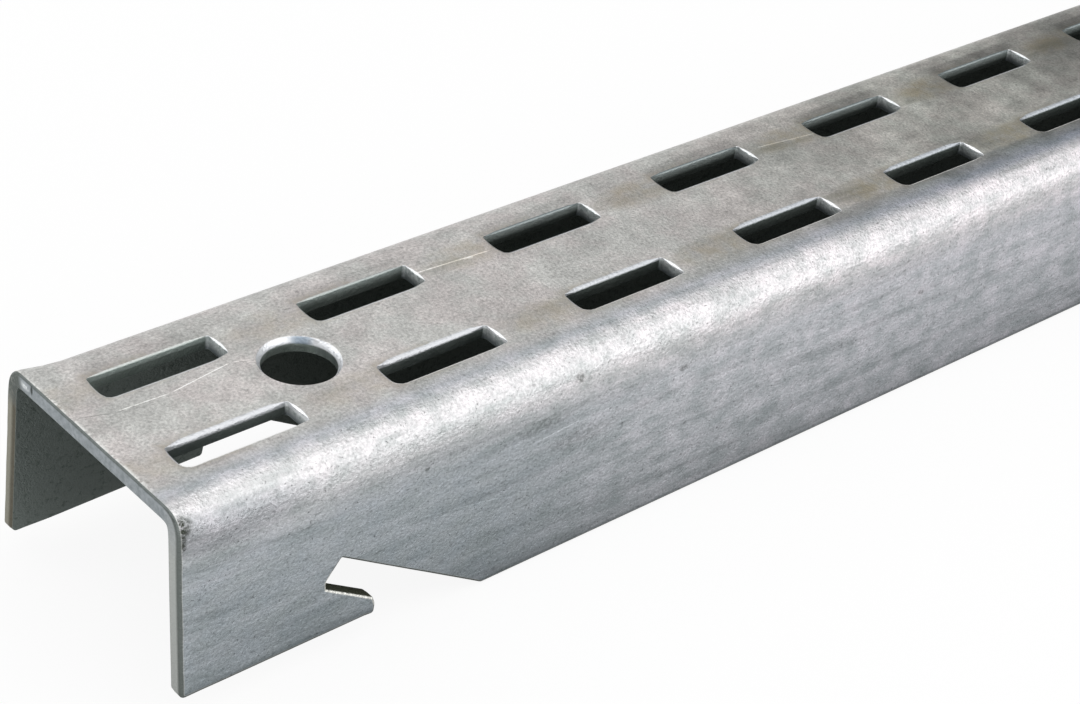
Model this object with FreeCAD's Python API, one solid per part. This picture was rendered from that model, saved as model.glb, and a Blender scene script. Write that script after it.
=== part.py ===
import FreeCAD, Part
import math
import os

# Double-slotted wall shelf standard: one length of bent steel channel.
# It lies on the back edges of its two flanges, with its slotted web on top.
# X runs along the standard, and the end with the hooks is at the low X end.
# Y runs across it and Z points away from the wall, up from the flange edges.
# The origin is at the middle of the footprint. All sizes are in millimetres.

# Section of the channel
length = 609.6
web_width = 29.8          # between the planes of the flanges, at the web's outer face
flange_depth = 23.7       # from the web's outer face to the edges that meet the wall
sheet = 1.7               # thickness of the steel strip
flange_lean = 3.2         # degrees that each flange springs open from square
bend_inner = 1.5          # radius inside each bend

# Bracket slots, in two rows of pairs
slot_pitch = 25.4
first_slot = 12.3         # from the hooked end to the middle of the first pair
row_spacing = 13.6        # between the middles of the two rows
slot_length = 14.0
slot_width = 3.5
slot_rim_radius = 0.4     # rounding that the punch draws into the outer edges of a slot

# Screw holes, on the middle line, each halfway between two pairs of slots
hole_bore = 7.9
hole_bevel = 0.5
pitches_between_holes = 11

# Hooks: a slanting notch in each flange, open towards the long end
front_depth = 21.2        # depth of the flange in front of the notch
notch_from_end = 19.1     # the notch's upper inside corner, from the hooked end
notch_drop = 12.5         # the same corner, below the web's outer face
notch_slant = 31.0        # degrees below level, for the notch and for the ramp behind it
notch_gap = 3.6           # between the notch's two slanting sides
tooth_reach = 23.3        # from the hooked end to the tooth's tip
tooth_round = 0.9

clear_past = 5.0          # how far a cutting shape runs past what it cuts

hooked_end_x = -length / 2.0
web_top_z = flange_depth
bend_outer = bend_inner + sheet
first_hole = first_slot + slot_pitch / 2.0
hole_spacing = pitches_between_holes * slot_pitch
lean = math.radians(flange_lean)
slant = math.radians(notch_slant)


def flange_face_y(height, inset):
    """Half the width across the flanges at a height, this far in from their outer faces."""
    return web_width / 2.0 + (web_top_z - height) * math.tan(lean) - inset / math.cos(lean)


def prism(points, direction):
    """Solid swept from a closed flat outline along a straight direction."""
    outline = Part.makePolygon(points + [points[0]])
    return Part.Face(outline).extrude(direction)


def edges_through(solid, places, tolerance=0.01):
    """The solid's edges whose middles lie at the given places."""
    found = []
    for edge in solid.Edges:
        middle = edge.CenterOfMass
        if any(middle.distanceToPoint(place) < tolerance for place in places):
            found.append(edge)
    return found


def bent_channel():
    """Strip bent to a channel, with its flanges sprung open and its back edges level."""
    web_under_z = web_top_z - sheet
    half_section = [
        (flange_face_y(0.0, sheet), 0.0),
        (flange_face_y(0.0, 0.0), 0.0),
        (flange_face_y(web_top_z, 0.0), web_top_z),
    ]
    inner_corner_y = flange_face_y(web_under_z, sheet)
    right_side = [FreeCAD.Vector(hooked_end_x, y, z) for y, z in half_section]
    left_side = [FreeCAD.Vector(hooked_end_x, -y, z) for y, z in reversed(half_section)]
    inner_left = FreeCAD.Vector(hooked_end_x, -inner_corner_y, web_under_z)
    inner_right = FreeCAD.Vector(hooked_end_x, inner_corner_y, web_under_z)
    section = right_side + left_side + [inner_left, inner_right]
    blank = prism(section, FreeCAD.Vector(length, 0, 0))

    corner_y = flange_face_y(web_top_z, 0.0)
    outer_corners = [FreeCAD.Vector(0, side * corner_y, web_top_z) for side in (-1, 1)]
    inner_corners = [FreeCAD.Vector(0, side * inner_corner_y, web_under_z) for side in (-1, 1)]
    rounded = blank.makeFillet(bend_outer, edges_through(blank, outer_corners))
    return rounded.makeFillet(bend_inner, edges_through(rounded, inner_corners))


def slot_cutter():
    """Tool for one slot at the origin of the web's outer face, flared where its rim is rounded."""
    around = slot_rim_radius + 1.0
    block_length = slot_length + 2.0 * around
    block_width = slot_width + 2.0 * around
    corner = FreeCAD.Vector(-block_length / 2.0, -block_width / 2.0, -sheet)
    block = Part.makeBox(block_length, block_width, sheet, corner)
    depth = sheet + 2.0 * clear_past
    punch_corner = FreeCAD.Vector(-slot_length / 2.0, -slot_width / 2.0, -depth / 2.0)
    punch = Part.makeBox(slot_length, slot_width, depth, punch_corner)
    coupon = block.cut(punch)
    rim = [
        FreeCAD.Vector(slot_length / 2.0, 0, 0),
        FreeCAD.Vector(-slot_length / 2.0, 0, 0),
        FreeCAD.Vector(0, slot_width / 2.0, 0),
        FreeCAD.Vector(0, -slot_width / 2.0, 0),
    ]
    rolled = coupon.makeFillet(slot_rim_radius, edges_through(coupon, rim))
    return block.cut(rolled)


def hole_cutter():
    """Tool for one screw hole at the origin of the web's outer face, with its bevel."""
    bore_radius = hole_bore / 2.0
    below = sheet + clear_past
    bore = Part.makeCylinder(bore_radius, below + clear_past, FreeCAD.Vector(0, 0, -below))
    bevel_base = FreeCAD.Vector(0, 0, -hole_bevel)
    bevel = Part.makeCone(bore_radius, bore_radius + hole_bevel, hole_bevel, bevel_base)
    return bore.fuse(bevel)


def spaced(first, spacing, last):
    """Distances from first, spacing apart, that don't pass last."""
    count = int(math.floor((last - first) / spacing + 1e-6)) + 1
    return [first + index * spacing for index in range(count)]


def bracket_slots():
    """Tools for both rows of slots."""
    cutter = slot_cutter()
    placed = []
    for along in spaced(first_slot, slot_pitch, length - first_slot):
        for side in (-1, 1):
            tool = cutter.copy()
            tool.translate(FreeCAD.Vector(hooked_end_x + along, side * row_spacing / 2.0, web_top_z))
            placed.append(tool)
    return placed


def screw_holes():
    """Tools for the screw holes along the middle line."""
    cutter = hole_cutter()
    placed = []
    for along in spaced(first_hole, hole_spacing, length - first_hole):
        tool = cutter.copy()
        tool.translate(FreeCAD.Vector(hooked_end_x + along, 0, web_top_z))
        placed.append(tool)
    return placed


def hook_notches():
    """Tool that cuts the notch, the tooth, its ramp and the shallower front in both flanges."""
    along_notch = (math.cos(slant), -math.sin(slant))
    across_notch = (-math.sin(slant), -math.cos(slant))
    upper = (notch_from_end, -notch_drop)
    inner = (upper[0] + notch_gap * across_notch[0], upper[1] + notch_gap * across_notch[1])
    tooth_run = (tooth_reach - inner[0]) / along_notch[0]
    tip_top = (tooth_reach, inner[1] + tooth_run * along_notch[1])
    tip_bottom = (tooth_reach, -front_depth)
    below = -flange_depth - clear_past
    ramp_run = (below - upper[1]) / along_notch[1]
    ramp_foot = (upper[0] + ramp_run * along_notch[0], below)
    outline = [
        upper,
        inner,
        tip_top,
        tip_bottom,
        (-clear_past, -front_depth),
        (-clear_past, below),
        ramp_foot,
    ]
    half_width = flange_face_y(0.0, 0.0) + clear_past

    def place(point, across):
        return FreeCAD.Vector(hooked_end_x + point[0], across, web_top_z + point[1])

    points = [place(point, -half_width) for point in outline]
    notch = prism(points, FreeCAD.Vector(0, 2.0 * half_width, 0))
    tip_edges = edges_through(notch, [place(tip_top, 0), place(tip_bottom, 0)])
    return notch.makeFillet(tooth_round, tip_edges)


def shelf_standard():
    """The whole standard, punched and notched."""
    channel = bent_channel()
    openings = bracket_slots() + screw_holes() + [hook_notches()]
    return channel.cut(openings).removeSplitter()


os.makedirs("parts", exist_ok=True)
shelf_standard().exportStep(os.path.join("parts", "slotted_channel.step"))
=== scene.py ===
import math

import bpy
import numpy as np
from mathutils import Matrix, Vector
from mathutils.geometry import delaunay_2d_cdt


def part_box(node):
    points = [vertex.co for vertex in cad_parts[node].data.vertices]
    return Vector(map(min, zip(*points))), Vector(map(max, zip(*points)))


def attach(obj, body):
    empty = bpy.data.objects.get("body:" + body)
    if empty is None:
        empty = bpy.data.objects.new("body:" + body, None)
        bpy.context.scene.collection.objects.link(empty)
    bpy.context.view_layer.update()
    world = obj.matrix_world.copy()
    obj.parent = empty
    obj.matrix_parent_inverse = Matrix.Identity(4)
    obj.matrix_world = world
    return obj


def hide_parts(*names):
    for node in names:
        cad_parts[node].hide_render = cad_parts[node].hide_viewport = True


# A galvanised wall shelf standard: one length of bent channel with two rows of punched slots.
# The dressed piece is the same strip as the CAD solid, drawn with the marks that its making left:
# soft bends, edges that the punch and the shear pulled down, broken and scraped cut walls.
# Lengths are in millimetres up to the last step, which turns them into the frame's metres.

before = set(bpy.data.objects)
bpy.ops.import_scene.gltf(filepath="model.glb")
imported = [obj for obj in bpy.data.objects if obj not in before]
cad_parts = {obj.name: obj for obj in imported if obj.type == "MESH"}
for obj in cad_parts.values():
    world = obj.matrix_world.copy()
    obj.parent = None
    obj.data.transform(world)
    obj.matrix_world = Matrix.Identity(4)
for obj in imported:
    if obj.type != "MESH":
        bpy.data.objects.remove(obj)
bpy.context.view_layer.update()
MM = 0.001

# Overall size, from the frame
low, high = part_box("slotted_channel")
LENGTH = (high.x - low.x) / MM
DEPTH = (high.z - low.z) / MM
HOOKED_END_X = low.x / MM

# Section
WEB_WIDTH = 29.8
SHEET = 1.7
LEAN = math.radians(3.2)
BEND_RUN = 9.8  # developed length of one bend on its outer side
BEND_EASE = 0.85  # 0 is an even curve, 1 one that starts and ends straight
BEND_HASTE = 0.25  # how much sooner it turns beside the web than beside the flange
END_TIGHT = 0.62  # share of that length at the cropped end, where the shear creased the bend
END_REACH = 5.0

# Slots and screw holes
SLOT_PITCH = 25.4
FIRST_SLOT = 12.3
ROW_OFFSET = 6.8
SLOT_LENGTH = 14.0
SLOT_WIDTH = 3.5
SLOT_CORNER = 0.3
SLOT_OVERCUT = (0.35, 0.10, 0.24)  # how far the slots pass their size: hooked end, far end, -Y side
WORN_CORNER = 1.0  # the punch's corner nearest the hooked end and the -Y side is worn round
WORN_REACH = 2.2 * WORN_CORNER  # no fading of the pulled edge this near that corner
SLOT_PAIRS = 24
HOLE_RADIUS = 3.95
HOLE_ROLL = (0.46, 0.60)  # how far its edge was pressed down: reach, and depth
HOLE_FLAT = 0.75  # 0 would be a round pulled edge, 1 a straight bevel
HOLE_SLIP = 0.4  # the holes were punched this much nearer the hooked end than halfway
FIRST_HOLE = FIRST_SLOT + SLOT_PITCH / 2 - HOLE_SLIP
HOLE_SPACING = 11 * SLOT_PITCH
HOLE_COUNT = 3

# Hook, as distances from the hooked end and below the web's outer face
FRONT_DEPTH = 21.2
NOTCH_X, NOTCH_DROP = 19.1, 12.5
NOTCH_SLANT = math.radians(31.0)
NOTCH_GAP = 3.6
NOTCH_FOOT = 0.9  # the notch's end wall stands upright for this much above the tooth
TOOTH_REACH = 23.3
TOOTH_NOSE = 20.1  # drop of the tooth's foremost point
TOOTH_STEPS = (0.1, 0.25, -0.05)  # how far its lower corner, nose and top pass its reach
TOOTH_ROUNDS = (0.38, 0.8, 0.34)  # roundings of the same three
NOTCH_ROUNDS = (0.12, 0.3, 0.12)  # roundings of the notch's inner corners
STRIP_ROUND = 0.6  # rounding of the strip's other corners
FAR_NOTCH_RISE = 1.2  # the notching tool sat off the strip's middle, towards the +Y flange
FAR_FRONT_RISE = (0.2, 0.8)

# How far the cutting tools pulled each kind of edge down: reach into the face, and depth
ROLL_TO_MIDDLE = (0.55, 0.50)  # slot edge that faces the other row
ROLL_TO_BEND = (0.28, 0.22)  # slot edge beside a bend
ROLL_AT_END = (0.34, 0.30)  # short ends of a slot
ROLL_SHEARED = (0.28, 0.20)  # long edges of the strip
ROLL_FRONT = (0.44, 0.30)  # lower edge of the hook
ROLL_CROPPED = (0.26, 0.20)  # ends of the web
ROLL_CROPPED_FLANGE = (0.48, 0.34)
ROLL_LEAST = (0.03, 0.02)  # in the corners, where the punch pulls nothing down
ROLL_FADE = 2.2  # length over which the pull fades towards a corner
ROLL_SHORT_FADE = 0.95  # share of a slot's half width over which it fades at a short end
ROLL_ALONG = 0.7  # an edge that faces across more than this is a long one
END_BAND = 0.7  # points this near an end lie on its cropped edge
CROPPED_FROM, CROPPED_OVER = 0.5, 0.4  # how far an edge has to face along the strip to be cropped
FLANGE_FROM, FLANGE_OVER = 2.0, 4.0  # past a bend's start, where the web's pull becomes the flange's
FRONT_MARGIN, FRONT_BAND = 0.6, 1.0  # the hook's lower edge: short of the tooth, and its height
ROLL_WAVER = ((0.05, 0.9, 0.0), (0.03, 2.3, 1.0))  # waves of the outline's pull: share, turn a mm, phase
ROLL_STEPS = (0.0, 0.2, 0.4, 0.6, 0.8, 1.0)
BREAK_SHARE = 0.62  # share of the thickness cut clean before the metal broke
BREAK_SLOPE = 0.07  # how far the broken part stands back at the inner face
LEAST_CLEAN = 0.1  # shortest clean cut below a pulled edge
INNER_LIP = 0.16  # band of the inner face beside a cut

# Spacing of the mesh
ARC_STEP = math.radians(24)
SLOT_SPACING = 0.75
END_SPACING = 0.4
EDGE_SPACING = 0.8
LONG_EDGE, LONG_SPACING = 60.0, 2.1
HOLE_STEPS = 64
WEB_ROWS, BEND_ROWS, FLANGE_ROWS = 7, 17, 10
COLUMNS_A_PITCH = 12
GRID_CLEARANCE = 0.9
NEAR_CUT = 2.0  # grid points farther from a cut than this aren't measured against it
GRID_BATCH = 2000
SHARP_ANGLE = math.radians(38)


# The section, unrolled
def bend_table(steps=600):
    """Outer face of one bend: run, and the side and drop and turn reached along it."""
    turn = math.pi / 2 - LEAN
    run = np.linspace(0.0, BEND_RUN, steps)
    share = run / BEND_RUN
    share = share + BEND_HASTE * share * (1 - share)
    angle = turn * (share - BEND_EASE * np.sin(2 * math.pi * share) / (2 * math.pi))
    step = BEND_RUN / (steps - 1)
    side = np.concatenate([[0.0], np.cumsum((np.cos(angle[1:]) + np.cos(angle[:-1])) / 2 * step)])
    drop = np.concatenate([[0.0], np.cumsum((np.sin(angle[1:]) + np.sin(angle[:-1])) / 2 * step)])
    return run, side, drop, angle


RUN_TABLE, SIDE_TABLE, DROP_TABLE, TURN_TABLE = bend_table()
BEND_SIDE, BEND_DROP = SIDE_TABLE[-1], DROP_TABLE[-1]
BEND_START = WEB_WIDTH / 2 + BEND_DROP * math.tan(LEAN) - BEND_SIDE
BEND_END = BEND_START + BEND_RUN


def smooth_step(value):
    value = np.clip(value, 0.0, 1.0)
    return value * value * (3 - 2 * value)


def fold(along, across, depth):
    """Points of the bent strip from places on the unrolled strip and depths below its outer face."""
    away = np.abs(across)
    tight = END_TIGHT + (1 - END_TIGHT) * smooth_step(along / END_REACH)
    middle = BEND_START + BEND_RUN / 2
    start = middle - tight * BEND_RUN / 2
    on_bend = np.clip((away - start) / tight, 0.0, BEND_RUN)
    past = np.maximum(away - middle - tight * BEND_RUN / 2, 0.0)
    angle = np.interp(on_bend, RUN_TABLE, TURN_TABLE)
    side = np.minimum(away, start) + tight * np.interp(on_bend, RUN_TABLE, SIDE_TABLE) + past * np.cos(angle)
    drop = tight * np.interp(on_bend, RUN_TABLE, DROP_TABLE) + past * np.sin(angle)
    down_flange = smooth_step(past / (BEND_END + DEPTH - BEND_DROP - middle))
    side = side + (1 - tight) * (BEND_SIDE - BEND_RUN / 2) * down_flange
    drop = drop + (1 - tight) * (BEND_DROP - BEND_RUN / 2) * down_flange
    side = side - depth * np.sin(angle)
    drop = drop + depth * np.cos(angle)
    return np.stack([HOOKED_END_X + along, np.sign(across) * side, DEPTH - drop], axis=1)


def unrolled(drop):
    """Place across the unrolled strip of a point on a flange, from its drop below the web."""
    return BEND_END + (drop - BEND_DROP) / math.cos(LEAN)


# Cut outlines on the unrolled strip
def rounded_corner(here, back, ahead, radius):
    """Where the rounding of one corner starts and ends, and its points and inward-to-metal directions."""
    back, ahead = back / np.linalg.norm(back), ahead / np.linalg.norm(ahead)
    half = math.acos(max(-1.0, min(1.0, float(back @ ahead)))) / 2
    reach = radius / math.tan(half)
    centre = here + (back + ahead) / np.linalg.norm(back + ahead) * radius / math.sin(half)
    first, last = here + back * reach, here + ahead * reach
    turn = 1.0 if back[0] * ahead[1] - back[1] * ahead[0] > 0 else -1.0
    steps = max(2, int(math.ceil((math.pi - 2 * half) / ARC_STEP)))
    spread = (first - centre) / radius
    arc = []
    for k in range(steps + 1):
        swing = (math.pi - 2 * half) * k / steps * -turn
        cosine, sine = math.cos(swing), math.sin(swing)
        out = np.array([spread[0] * cosine - spread[1] * sine, spread[0] * sine + spread[1] * cosine])
        arc.append((centre + out * radius, out * turn))
    return first, last, arc


def rounded_outline(corners, radii, spacing):
    """Points and inward-to-metal directions round a closed outline that has the metal on its left."""
    corners = [np.array(corner, float) for corner in corners]
    count = len(corners)
    rounded = []
    for index, here in enumerate(corners):
        back, ahead = corners[index - 1] - here, corners[(index + 1) % count] - here
        rounded.append(rounded_corner(here, back, ahead, radii[index]))
    points, normals = [], []
    for index, (_, begin, arc) in enumerate(rounded):
        for place, normal in arc:
            points.append(place)
            normals.append(normal)
        finish = rounded[(index + 1) % count][0]
        run = np.linalg.norm(finish - begin)
        pieces = max(1, int(round(run / spacing(begin, finish))))
        forward = (finish - begin) / run
        left = np.array([-forward[1], forward[0]])
        for k in range(1, pieces):
            points.append(begin + (finish - begin) * k / pieces)
            normals.append(left)
    return np.array(points), np.array(normals)


def slot_loop(centre_along, row):
    """One slot's cut line, and how far its edges were pulled down, row being -1 or 1."""
    half_length, half_width = SLOT_LENGTH / 2, SLOT_WIDTH / 2
    start, end = -half_length - SLOT_OVERCUT[0], half_length + SLOT_OVERCUT[1]
    low_side = -half_width - SLOT_OVERCUT[2]
    box = [(start, half_width), (end, half_width), (end, low_side), (start, low_side)]
    radii = [SLOT_CORNER] * 3 + [WORN_CORNER]
    points, normals = rounded_outline(box, radii, lambda begin, finish: SLOT_SPACING)
    from_end = np.minimum(points[:, 0] - start, end - points[:, 0])
    from_side = np.minimum(points[:, 1] - low_side, half_width - points[:, 1])
    on_long = np.abs(normals[:, 1]) > ROLL_ALONG
    worn = np.hypot(points[:, 0] - start, points[:, 1] - low_side) < WORN_REACH
    fade_long = np.where(worn, 1.0, smooth_step(from_end / ROLL_FADE))
    fade_short = np.where(worn, 1.0, smooth_step(from_side / (half_width * ROLL_SHORT_FADE)))
    faces_middle = np.sign(points[:, 1]) != row
    rolls = []
    for least, middle, bend, short in zip(ROLL_LEAST, ROLL_TO_MIDDLE, ROLL_TO_BEND, ROLL_AT_END):
        long_roll = np.where(faces_middle, middle, bend)
        roll = np.where(on_long, long_roll * fade_long, short * fade_short)
        rolls.append(np.maximum(roll, least))
    points = points + np.array([centre_along, row * ROW_OFFSET])
    return points, normals, *rolls


def hole_loop(centre_along):
    """A screw hole's cut line, and how far its edge was pulled down."""
    turn = -np.linspace(0, 2 * math.pi, HOLE_STEPS, endpoint=False)
    normals = np.stack([np.cos(turn), np.sin(turn)], axis=1)
    points = normals * HOLE_RADIUS + np.array([centre_along, 0.0])
    return points, normals, *[np.full(HOLE_STEPS, roll) for roll in HOLE_ROLL]


def flange_corners(notch_rise, front_rise):
    """Corners and roundings of one flange's free edge, as distances from the end and drops."""
    slant = np.array([math.cos(NOTCH_SLANT), math.sin(NOTCH_SLANT)])
    across = np.array([-math.sin(NOTCH_SLANT), math.cos(NOTCH_SLANT)])
    upper = np.array([NOTCH_X, NOTCH_DROP - notch_rise])
    inner = upper + NOTCH_GAP * across
    foot = inner - np.array([0.0, NOTCH_FOOT])
    tip_top = inner + slant * (TOOTH_REACH + TOOTH_STEPS[2] - inner[0]) / slant[0]
    ramp_foot = upper + slant * (DEPTH - upper[1]) / slant[1]
    return [((0.0, FRONT_DEPTH - front_rise[0]), STRIP_ROUND),
            ((TOOTH_REACH + TOOTH_STEPS[0], FRONT_DEPTH - front_rise[1]), TOOTH_ROUNDS[0]),
            ((TOOTH_REACH + TOOTH_STEPS[1], TOOTH_NOSE - front_rise[1]), TOOTH_ROUNDS[1]),
            (tuple(tip_top), TOOTH_ROUNDS[2]),
            (tuple(inner), NOTCH_ROUNDS[0]),
            (tuple(foot), NOTCH_ROUNDS[1]),
            (tuple(upper), NOTCH_ROUNDS[2]),
            (tuple(ramp_foot), STRIP_ROUND),
            ((LENGTH, DEPTH), STRIP_ROUND)]


def outline_spacing(begin, finish):
    """Distance between points along one straight side of the strip's outline."""
    if abs(finish[0] - begin[0]) < 1e-6 and abs(finish[1] - begin[1]) > 2 * BEND_START:
        return END_SPACING
    return LONG_SPACING if np.linalg.norm(finish - begin) > LONG_EDGE else EDGE_SPACING


def outline_loop():
    """The strip's own outline, with the hooks at its low end."""
    near = [((x, -unrolled(drop)), radius) for (x, drop), radius in flange_corners(0.0, (0.0, 0.0))]
    far_side = reversed(flange_corners(FAR_NOTCH_RISE, FAR_FRONT_RISE))
    far = [((x, unrolled(drop)), radius) for (x, drop), radius in far_side]
    corners = [corner for corner, radius in near + far]
    radii = [radius for corner, radius in near + far]
    points, normals = rounded_outline(corners, radii, outline_spacing)
    away = np.abs(points[:, 1])
    at_end = np.minimum(points[:, 0], LENGTH - points[:, 0]) < END_BAND
    cropped = at_end * smooth_step((np.abs(normals[:, 0]) - CROPPED_FROM) / CROPPED_OVER)
    on_flange = smooth_step((away - BEND_START - FLANGE_FROM) / FLANGE_OVER)
    front = (points[:, 0] < TOOTH_REACH - FRONT_MARGIN) & (away > unrolled(FRONT_DEPTH - FRONT_BAND))
    waver = 1.0
    for share, turn, phase in ROLL_WAVER:
        waver = waver + share * np.sin(points[:, 1] * turn + phase)
    rolls = []
    for sheared, hook, web_end, flange_end in zip(ROLL_SHEARED, ROLL_FRONT, ROLL_CROPPED,
                                                  ROLL_CROPPED_FLANGE):
        end = web_end + (flange_end - web_end) * on_flange
        side = np.where(front, hook, sheared)
        rolls.append((side + (end - side) * cropped) * waver)
    return points, normals, *rolls


# Mesh of the strip
MARKS = ("along", "across", "depth", "cut", "outer_edge")


class Strip:
    """Collects points of the unrolled strip, with the marks that the finish reads, and their faces."""

    def __init__(self):
        self.marks = {name: [] for name in MARKS}
        self.faces = []
        self.total = 0

    def add(self, places, depth, cut, outer_edge=0.0):
        count = len(places)
        values = (places[:, 0], places[:, 1], depth, cut, outer_edge)
        for column, value in zip(self.marks.values(), values):
            column.append(np.broadcast_to(value, (count,)).astype(float))
        first = self.total
        self.total += count
        return np.arange(first, first + count)

    def band(self, upper, lower):
        upper_next, lower_next = np.roll(upper, -1), np.roll(lower, -1)
        self.faces.extend(zip(upper.tolist(), lower.tolist(), lower_next.tolist(), upper_next.tolist()))


def wall_rings(strip, loop, outer_edge):
    """Rings of one cut from the outer face to the inner one. Returns the two border rings."""
    points, normals, reach, depth = loop
    flat = HOLE_FLAT if np.ptp(reach) == 0.0 else 0.0
    rings = []
    for share in ROLL_STEPS:
        angle = share * math.pi / 2
        offset = reach * (flat * (1 - share) + (1 - flat) * (1 - math.sin(angle)))
        height = depth * (flat * share + (1 - flat) * (1 - math.cos(angle)))
        places = points + normals * offset[:, None]
        rings.append(strip.add(places, height, share, outer_edge * (1.0 if share else 0.0)))
    clean = np.maximum(SHEET * BREAK_SHARE, depth + LEAST_CLEAN)
    rings.append(strip.add(points, clean, 1.0, outer_edge))
    rings.append(strip.add(points + normals * BREAK_SLOPE, SHEET, 1.0, outer_edge))
    rings.append(strip.add(points + normals * (BREAK_SLOPE + INNER_LIP), SHEET, 0.0))
    for upper, lower in zip(rings, rings[1:]):
        strip.band(upper, lower)
    return rings[0], rings[-1]


def inner_points(loops):
    """A grid of places on the unrolled strip, close across the bends, clear of the loops."""
    web = np.linspace(0.0, BEND_START, WEB_ROWS)
    bend = np.linspace(BEND_START, BEND_END, BEND_ROWS)[1:]
    flange = np.linspace(BEND_END, unrolled(DEPTH), FLANGE_ROWS)[1:-1]
    half = np.concatenate([web, bend, flange])
    rows = np.concatenate([-half[::-1], half[1:]])
    step = SLOT_PITCH / COLUMNS_A_PITCH
    columns = np.arange(step / 2, LENGTH, step)
    grid = np.stack(np.meshgrid(columns, rows, indexing="ij"), axis=-1).reshape(-1, 2)
    keep = np.ones(len(grid), bool)
    for points, normals, reach, depth in loops:
        low_corner, high_corner = points.min(0) - NEAR_CUT, points.max(0) + NEAR_CUT
        near = np.all((grid > low_corner) & (grid < high_corner), axis=1) & keep
        index = np.nonzero(near)[0]
        for start in range(0, len(index), GRID_BATCH):
            part = index[start:start + GRID_BATCH]
            gap = np.sqrt(((grid[part, None, :] - points[None, :, :]) ** 2).sum(-1))
            closest = gap.argmin(1)
            outward = ((grid[part] - points[closest]) * normals[closest]).sum(1)
            keep[part] = (gap.min(1) > GRID_CLEARANCE) & (outward > 0)
    return grid[keep]


def fill_face(strip, borders, grid, depth, flip):
    """Triangles of one face of the sheet, between its border rings, the strip's own outline first."""
    places = np.stack([np.concatenate(strip.marks[axis]) for axis in ("along", "across")], axis=1)
    coords = np.concatenate([places[ring] for ring in borders] + [grid])
    ids = np.concatenate(borders + [strip.add(grid, depth, 0.0)])
    faces, first = [], 0
    for ring in borders:
        loop = list(range(first, first + len(ring)))
        faces.append(loop if not faces else loop[::-1])
        first += len(ring)
    vectors = [Vector((float(x), float(y))) for x, y in coords]
    triangles_inside, smallest = 1, 1e-5
    result = delaunay_2d_cdt(vectors, [], faces, triangles_inside, smallest, True)
    _, _, triangles, origin, _, covers = result
    outline_only = [0]
    for triangle, cover in zip(triangles, covers):
        if list(cover) != outline_only:
            continue
        corner = [int(ids[origin[k][0]]) for k in triangle]
        strip.faces.append(tuple(reversed(corner)) if flip else tuple(corner))


def strip_mesh(name):
    """The bent and cut strip, with its marks as attributes for the finish."""
    strip = Strip()
    loops = [outline_loop()]
    for pair in range(SLOT_PAIRS):
        for row in (-1, 1):
            loops.append(slot_loop(FIRST_SLOT + pair * SLOT_PITCH, row))
    for index in range(HOLE_COUNT):
        loops.append(hole_loop(FIRST_HOLE + index * HOLE_SPACING))
    outer_rings, inner_rings = [], []
    for index, loop in enumerate(loops):
        upper, lower = wall_rings(strip, loop, outer_edge=0.0 if index else 1.0)
        outer_rings.append(upper)
        inner_rings.append(lower)
    grid = inner_points(loops)
    fill_face(strip, outer_rings, grid, 0.0, flip=False)
    fill_face(strip, inner_rings, grid, SHEET, flip=True)

    marks = {label: np.concatenate(column) for label, column in strip.marks.items()}
    along, across, depth = marks["along"], marks["across"], marks["depth"]
    on_flange = np.abs(across) > BEND_END
    shifted = across - np.where(on_flange, np.sign(across) * depth * math.tan(LEAN), 0.0)
    places = fold(along, shifted, depth) * MM
    mesh = bpy.data.meshes.new(name)
    mesh.from_pydata(places.tolist(), [], strip.faces)
    mesh.validate()
    for label, values in marks.items():
        mesh.attributes.new(label, "FLOAT", "POINT").data.foreach_set("value", values.astype(np.float32))
    mesh.polygons.foreach_set("use_smooth", [True] * len(mesh.polygons))
    mesh.set_sharp_from_angle(angle=SHARP_ANGLE)
    return mesh


# Finish
class Shader:
    """Short ways to build the node tree of a material or world, which it empties first."""

    def __init__(self, owner):
        owner.use_nodes = True
        self.tree = owner.node_tree
        self.tree.nodes.clear()

    def node(self, kind, **settings):
        node = self.tree.nodes.new("ShaderNode" + kind)
        for key, value in settings.items():
            setattr(node, key, value)
        return node

    def link(self, source, target):
        self.tree.links.new(source, target)

    def feed(self, socket, value):
        if isinstance(value, bpy.types.NodeSocket):
            self.link(value, socket)
        else:
            socket.default_value = value

    def attribute(self, name):
        node = self.node("Attribute", attribute_name=name)
        return node.outputs["Fac"]

    def math(self, operation, first, second=0.0, clamp=False):
        node = self.node("Math", operation=operation, use_clamp=clamp)
        for socket, value in zip(node.inputs, (first, second)):
            self.feed(socket, value)
        return node.outputs[0]

    def times(self, first, *others):
        for other in others:
            first = self.math("MULTIPLY", first, other)
        return first

    def plus(self, first, second, clamp=False):
        return self.math("ADD", first, second, clamp)

    def minus(self, first, second):
        return self.math("SUBTRACT", first, second)

    def combine(self, x, y, z):
        node = self.node("CombineXYZ")
        for socket, value in zip(node.inputs, (x, y, z)):
            self.feed(socket, value)
        return node.outputs[0]

    def noise(self, place, scale, detail, roughness, distortion=0.0):
        node = self.node("TexNoise")
        for label, value in (("Vector", place), ("Scale", scale), ("Detail", detail),
                             ("Roughness", roughness), ("Distortion", distortion)):
            self.feed(node.inputs[label], value)
        return node.outputs["Fac"]

    def range(self, value, from_low, from_high, to_low=0.0, to_high=1.0, smooth=False):
        node = self.node("MapRange")
        if smooth:
            node.interpolation_type = "SMOOTHSTEP"
        self.feed(node.inputs["Value"], value)
        for label, number in (("From Min", from_low), ("From Max", from_high),
                              ("To Min", to_low), ("To Max", to_high)):
            self.feed(node.inputs[label], number)
        return node.outputs["Result"]

    def mix(self, share, first, second, blend="MIX"):
        node = self.node("Mix", data_type="RGBA", blend_type=blend)
        self.feed(node.inputs["Factor"], share)
        self.feed(node.inputs["A"], first)
        self.feed(node.inputs["B"], second)
        return node.outputs["Result"]


def rest_of(s, share):
    """What a share leaves of 1."""
    return s.minus(1.0, share)


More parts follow.
